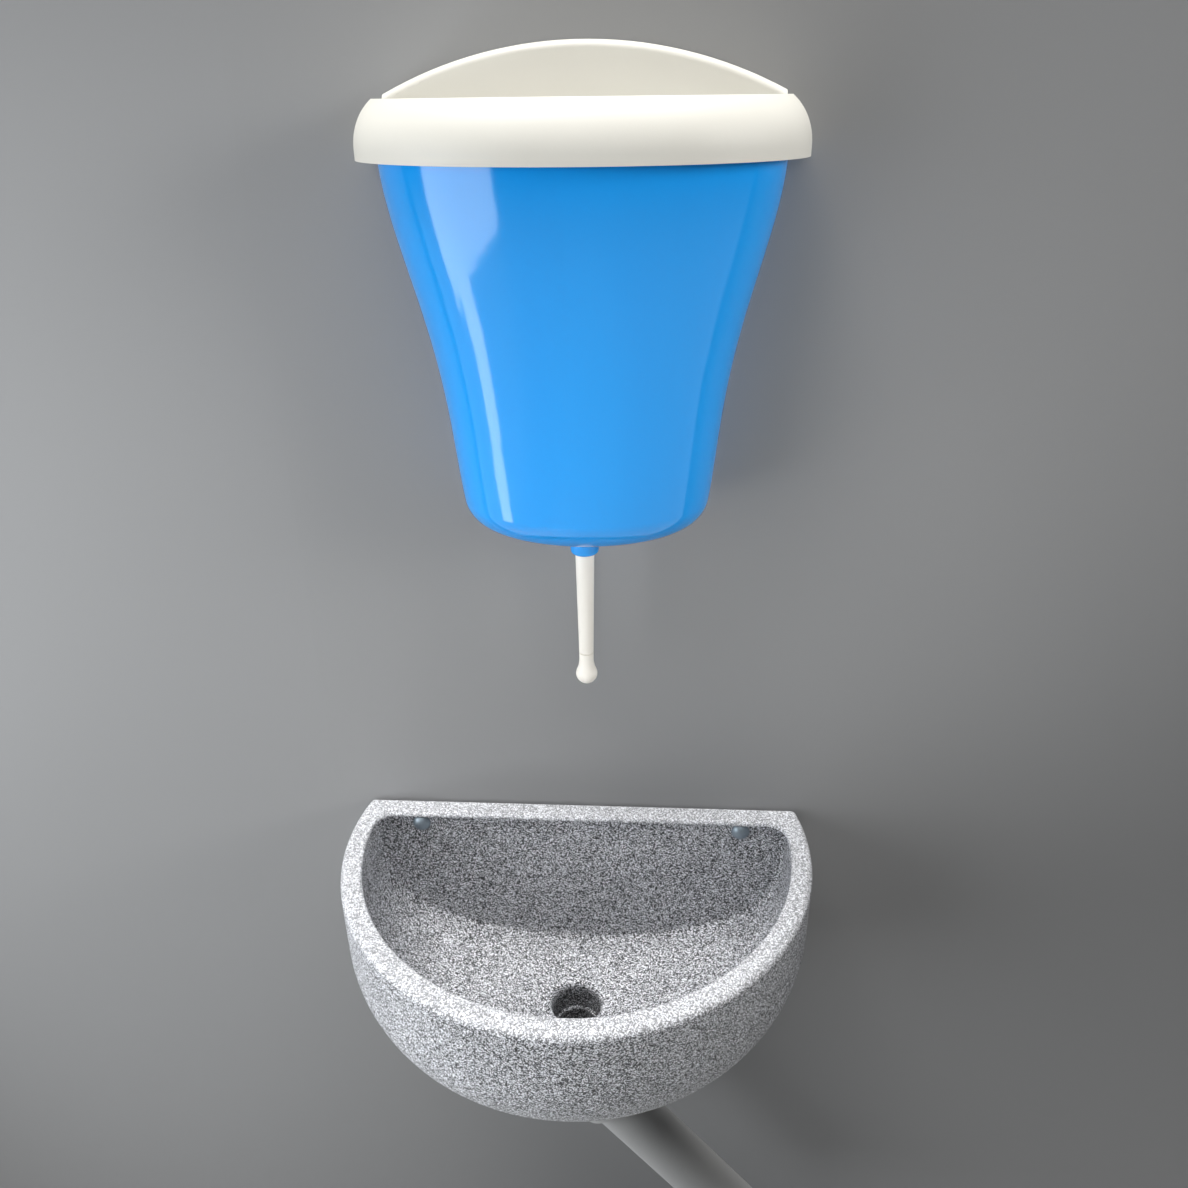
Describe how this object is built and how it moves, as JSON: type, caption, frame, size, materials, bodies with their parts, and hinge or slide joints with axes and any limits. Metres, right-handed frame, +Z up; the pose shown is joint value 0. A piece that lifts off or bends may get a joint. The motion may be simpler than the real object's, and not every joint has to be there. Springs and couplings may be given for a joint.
{
  "type": "wall-hung hand-wash station",
  "caption": "Wall-hung hand-wash station for an outdoor toilet: a lidded water tank with a push-up plunger valve above a half-round basin with a slanting waste pipe.",
  "frame": {"origin": "on the wall's surface, midway between the basin's two screws", "axes": "+X to the right as seen from in front, +Y into the wall, +Z up"},
  "size_m": [0.4998, 0.3449, 1.3218],
  "materials": {
    "basin": "fine granite speckle, satin",
    "tank": "glossy blue",
    "lid": "warm white, semi-gloss",
    "plunger": "cream white, semi-gloss",
    "waste_pipe": "plain mid grey",
    "screws": "dull zinc",
    "seals": "matt black"
  },
  "bodies": {
    "station": {"basin_bowl": "basin", "basin_screws": "screws", "basin_screw_washers": "screws", "drain_elbow": "waste_pipe", "drain_pipe": "waste_pipe", "outlet_seal": "seals", "pipe_seal": "seals", "tank_shell": "tank", "tank_screws": "screws"},
    "lid": {"lid": "lid"},
    "plunger": {"plunger_rod": "plunger", "plunger_ball": "plunger", "valve_head": "plunger", "valve_seal": "seals", "valve_screw": "screws"}
  },
  "joints": [
    {"name": "lid_lift", "type": "slide", "parent": "station", "child": "lid", "axis": [0, 0, 1], "range_m": [0, 0.12]},
    {"name": "plunger_push", "type": "slide", "parent": "station", "child": "plunger", "axis": [0, 0, 1], "range_m": [0, 0.115]}
  ]
}
